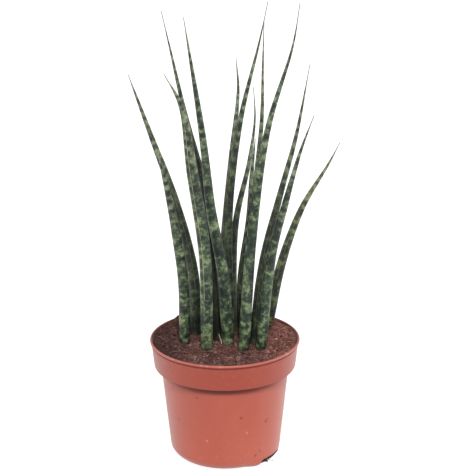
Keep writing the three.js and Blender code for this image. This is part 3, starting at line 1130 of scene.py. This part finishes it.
def strand(route, thickness, sides=3):      # a thin closed tube along a few points
    points = []
    faces = []
    count = len(route)
    for i, spot in enumerate(route):
        ahead = route[min(i + 1, count - 1)] - route[max(i - 1, 0)]
        ahead /= max(np.linalg.norm(ahead), 1e-9)
        across = np.cross(ahead, (0.0, 0.0, 1.0))
        across /= max(np.linalg.norm(across), 1e-9)
        upward = np.cross(across, ahead)
        thin = thickness * (fibres["endThickness"] if i in (0, count - 1) else 1.0)
        for k in range(sides):
            angle = math.tau * k / sides
            points.append(spot + thin * (across * math.cos(angle) + upward * math.sin(angle)))
    for i in range(count - 1):
        for k in range(sides):
            nextK = (k + 1) % sides
            low = i * sides
            high = low + sides
            faces.append((low + k, high + k, high + nextK, low + nextK))
    faces.append(tuple(range(sides)))
    faces.append(tuple(reversed(range((count - 1) * sides, count * sides))))
    return points, faces


def makeFibres():
    f = fibres
    rng = random.Random(f["seed"])
    edge = soilEdge() - f["edgeRoom"]
    parts = []
    tones = []
    for _ in range(f["count"]):
        length = f["shortest"] + (f["longest"] - f["shortest"]) * rng.random() ** 2
        thickness = f["thickness"] * rng.uniform(*f["spread"])
        x, y = randomSpot(rng, f["startRoom"], edge)
        heading = rng.uniform(0, math.tau)
        lift = rng.uniform(0, f["lift"])
        arch = rng.uniform(0, f["arch"]) * (length / f["longest"])
        route = []
        for i in range(f["joints"]):
            share = i / (f["joints"] - 1)
            if math.hypot(x, y) > edge or not outsideStems(x, y, f["stemRoom"]):
                break
            above = thickness * f["rest"] + lift * share + arch * math.sin(math.pi * share)
            height = soilSurface(x, y) + above
            route.append(np.array([x, y, height]))
            heading += rng.uniform(-f["wander"], f["wander"])
            x += length / f["joints"] * math.cos(heading)
            y += length / f["joints"] * math.sin(heading)
        if len(route) < f["fewestJoints"]:
            continue
        parts.append(strand(route, thickness))
        tones += [rng.random()] * len(parts[-1][0])
    piece = joinParts("coir_fibres", parts)
    writeNumber(piece, "tone", tones)
    smooth(piece)
    return piece


# Loose bits: a straw sliver and root scraps on the soil, and what pokes out of the front notch

looseBits = {
    "strawFoot": (-2.2 * mm, -6.5 * mm, 95 * mm),
    "strawTop": (-4.6 * mm, -5.5 * mm, 104 * mm),
    "strawSize": (0.9 * mm, 0.3 * mm, 0.2 * mm),
    "strawSteps": 5,
    "strawSway": (0.25 * mm, 0.2 * mm),
    "strawNarrow": (0.84, 0.92),        # at even and at odd steps
    "strawRound": 0.05 * mm,
    "scrapThickness": 0.55 * mm,
    "scrapRise": 0.9 * mm,
    "scraps": (((11.0, -24.0), (13.0, -26.5), (16.0, -27.5), (18.5, -30.5)),
               ((12.5, -28.0), (14.5, -29.5), (15.0, -31.5)),
               ((14.0, -25.0), (17.0, -29.0), (19.5, -31.0)),
               ((-9.0, -24.5), (-12.5, -26.0), (-15.5, -25.0))),
    "notchRoot": ((30, -27, 5.2), (33, -28.5, 5.0), (36, -30, 4.8), (39, -30.5, 4.3), (41.5, -31.5, 3.0)),
    "notchRootThickness": 0.26 * mm,
    "clumpAt": ((30.2, -28.9, 3.2), (32.0, -28.6, 3.3), (33.6, -28.0, 3.0)),
    "clumpSize": 1.15 * mm,
    "clumpVoxel": 0.25 * mm,
}


def makeStraw():
    b = looseBits
    foot = Vector(b["strawFoot"])
    rise = (Vector(b["strawTop"]) - foot) / b["strawSteps"]
    deselectAll()
    bpy.ops.mesh.primitive_cube_add(size=1, location=foot, scale=b["strawSize"])
    straw = named("straw_sliver")
    bpy.ops.object.transform_apply(location=True, rotation=False, scale=True)
    editMode(straw)
    bpy.ops.mesh.select_mode(type="FACE")
    mesh = bmesh.from_edit_mesh(straw.data)
    for face in mesh.faces:
        face.select_set(face.normal.z > 0.9)
    bmesh.update_edit_mesh(straw.data)
    for step in range(b["strawSteps"]):
        sideways, forwards = b["strawSway"]
        sway = Vector((math.sin(step * 1.9) * sideways, math.cos(step * 2.3) * forwards, 0))
        bpy.ops.mesh.extrude_region_move(TRANSFORM_OT_translate={"value": rise + sway})
        narrow = b["strawNarrow"][step % 2]
        bpy.ops.transform.resize(value=(narrow, narrow, 1), center_override=foot + rise * (step + 1) + sway)
    objectMode()
    finishWith(straw, "BEVEL", width=b["strawRound"], segments=2)
    smooth(straw, 40)
    return straw


def makeStrands(name, routes, thickness):
    piece = joinParts(name, [strand(route, thickness, 6) for route in routes])
    finishWith(piece, "SUBSURF", levels=1, render_levels=1)
    smooth(piece)
    return piece


def makeScraps():
    b = looseBits
    routes = []
    for scrap in b["scraps"]:
        spots = [(x * mm, y * mm) for x, y in scrap]
        routes.append([np.array([x, y, soilSurface(x, y) + b["scrapRise"]]) for x, y in spots])
    return makeStrands("root_scraps", routes, b["scrapThickness"])


def makeNotchRoot():
    b = looseBits
    route = [np.array(spot) * mm for spot in b["notchRoot"]]
    return makeStrands("notch_root", [route], b["notchRootThickness"])


def makeNotchClump():
    b = looseBits
    kinds = crumbKinds(random.Random(fibres["seed"]))
    parts = []
    for number, spot in enumerate(b["clumpAt"]):
        kind, faces = kinds[number % crumbs["bigKinds"]]
        parts.append((kind * b["clumpSize"] + np.array(spot) * mm, faces))
    clump = joinParts("notch_clump", parts)
    finishWith(clump, "REMESH", mode="VOXEL", voxel_size=b["clumpVoxel"])
    smooth(clump)
    return clump


def leftDarkerRightLighter(paint, place, colour):
    s = soilShape
    x = paint.split(place)[0]
    colour = paint.mix(x.fade(*s["leftDarkerSpan"]) * s["leftDarkerShare"], colour, s["leftDarker"], "MULTIPLY")
    return paint.mix(x.fade(*s["rightLighterSpan"]), colour, s["rightLighter"], "MULTIPLY")


def soilFinish():
    s = soilShape
    paint = Paint("peat and coir")
    place = paint.place()
    broad = paint.noise(place, 110, 3, 0.6)
    grain = paint.noise(place, 430, 5, 0.7)
    fine = paint.noise(place, 1900, 3, 0.7)
    earth = paint.ramp(broad * 0.35 + grain * 0.45 + fine * 0.20, s["earth"])
    earth = leftDarkerRightLighter(paint, place, earth)
    # Painted shade: soil low in the pot, seen through the notches, is made near black
    lowShade = paint.split(place)[2].fade(*s["lowShadeSpan"])
    earth = paint.mix(lowShade * s["lowShadeShare"], earth, s["lowShade"])
    paint.set(
        Base_Color=earth,
        Roughness=0.95,
        Specular_IOR_Level=0.2,
        Normal=paint.bump(grain + fine * 0.6, 0.7, 0.7 * mm),
    )
    return paint.material


def looseFinish(look):      # crumbs and fibres, each with a tone of its own
    paint = Paint(look["material"])
    place = paint.place()
    grain = paint.noise(place, *look["grain"])
    colour = paint.ramp(paint.attribute("tone"), look["tones"])
    colour = paint.mix(grain.fade(*look["darkFade"]) * look["darkShare"], colour, look["dark"])
    paint.set(
        Base_Color=leftDarkerRightLighter(paint, place, colour),
        Roughness=look["roughness"],
        Specular_IOR_Level=look["shine"],
        Normal=paint.bump(grain, *look["bump"]),
    )
    return paint.material


def scrapFinish(name, dark, light, scale):      # straw, root and clump differ in tone and grain
    paint = Paint(name)
    grain = paint.noise(paint.scaled(paint.place(), (1, 1, 0.3)), scale, 4, 0.65)
    colour = paint.ramp(grain, [(0.35, dark), (0.65, light)])
    paint.set(Base_Color=colour, Roughness=0.75 + grain * 0.2, Specular_IOR_Level=0.25,
              Normal=paint.bump(grain, 0.5, 0.3 * mm))
    return paint.material


# Camera, light and floor

view = {
    "distance": 1500 * mm,
    "elevation": 19.04,
    "roll": 0.3,
    "aim": (8.6 * mm, 0, 185.7 * mm),
    "focal": 1906,                # in pixels of the 470 pixel wide picture
    "pictureWidth": 470,
    "sensor": 36,
    "clipEnd": 50,
}

studio = {
    "floorSize": 60,
    "floorTone": (0.25, 0.25, 0.25),
    "floorGlow": 0.9,
    "world": 0.2,
    "softboxAim": (0, 0, 0.2),
    "suns": [      # azimuth runs from the front towards the right
        {"name": "key", "azimuth": 3, "elevation": 49, "strength": 4.4, "angle": 12},
        {"name": "back", "azimuth": 190, "elevation": 38, "strength": 0.6, "angle": 50},
    ],
    "softboxes": [
        {"name": "left", "at": (-1.5, 0.1, 0.65), "size": 1.6, "power": 13},
        {"name": "right", "at": (1.5, 0.15, 0.65), "size": 1.6, "power": 19},
    ],
}


def makeCamera():
    deselectAll()
    tilt = math.radians(view["elevation"])
    aim = Vector(view["aim"])
    place = aim + view["distance"] * Vector((0, -math.cos(tilt), math.sin(tilt)))
    bpy.ops.object.camera_add(location=place)
    camera = bpy.context.active_object
    lean = Matrix.Rotation(-math.radians(view["roll"]), 4, "Z")
    look = Matrix.Rotation(math.pi / 2 - tilt, 4, "X") @ lean
    camera.matrix_world = Matrix.Translation(place) @ look
    camera.data.sensor_width = view["sensor"]
    camera.data.lens = view["focal"] / view["pictureWidth"] * view["sensor"]
    camera.data.clip_end = view["clipEnd"]
    bpy.context.scene.camera = camera


def addLamp(name, kind, place, aim, **settings):
    deselectAll()
    bpy.ops.object.light_add(type=kind, location=place)
    lamp = bpy.context.active_object
    lamp.name = name
    for key, value in settings.items():
        setattr(lamp.data, key, value)
    lamp.rotation_euler = aim.to_track_quat("-Z", "Y").to_euler()


def makeLights():
    for sun in studio["suns"]:
        turn = math.radians(sun["azimuth"])
        rise = math.radians(sun["elevation"])
        aim = Vector((-math.sin(turn) * math.cos(rise), math.cos(turn) * math.cos(rise), -math.sin(rise)))
        addLamp(sun["name"] + "_sun", "SUN", (0, 0, 1), aim,
                energy=sun["strength"], angle=math.radians(sun["angle"]))
    for light in studio["softboxes"]:
        aim = Vector(studio["softboxAim"]) - Vector(light["at"])
        addLamp(light["name"] + "_softbox", "AREA", light["at"], aim,
                shape="DISK", size=light["size"], energy=light["power"])


def makeWorld():
    world = bpy.data.worlds.new("studio")
    world.use_nodes = True
    background = world.node_tree.nodes["Background"]
    background.inputs["Color"].default_value = (1, 1, 1, 1)
    background.inputs["Strength"].default_value = studio["world"]
    bpy.context.scene.world = world
    bpy.context.scene.view_settings.view_transform = "Standard"


def makeFloor():
    deselectAll()
    bpy.ops.mesh.primitive_plane_add(size=studio["floorSize"], location=(0, 0, 0))
    floor = named("studio_floor")
    paint = Paint("pale floor")
    soft = paint.noise(paint.place(), 3, 2, 0.5)
    paint.set(Base_Color=studio["floorTone"], Roughness=0.7 + soft * 0.1,
              Emission_Color=(1.0, 1.0, 1.0), Emission_Strength=studio["floorGlow"])
    floor.data.materials.append(paint.material)


makeCamera()
makeLights()
makeWorld()
makeFloor()
print("stage: camera, light and floor")

dress(makePot(), potPlastic(), "pot_plastic", "pot")
print("stage: pot")

leafMaterial = leafSkin()
for number, leaf in enumerate(leaves):
    dress(makeLeaf(leaf, number + 1), leafMaterial, "leaf", leaf["node"])
print("stage: leaves")

earth = soilFinish()
dress(makeSoil(), earth, "potting_soil", "soil")
dress(makeBulges(), earth, "potting_soil")
dress(makeCrumbs(), looseFinish(crumbs), "potting_soil")
dress(makeFibres(), looseFinish(fibres), "potting_soil")
print("stage: soil")

straw = scrapFinish("dried straw", (0.26, 0.17, 0.13), (0.48, 0.37, 0.30), 500)
darkRoot = scrapFinish("dark root", (0.012, 0.006, 0.005), (0.045, 0.022, 0.018), 600)
paleRoot = scrapFinish("pale root", (0.06, 0.05, 0.045), (0.20, 0.18, 0.16), 500)
dress(makeStraw(), straw, "potting_soil")
dress(makeScraps(), darkRoot, "potting_soil")
dress(makeNotchRoot(), paleRoot, "potting_soil")
dress(makeNotchClump(), darkRoot, "potting_soil")
print("stage: loose bits")
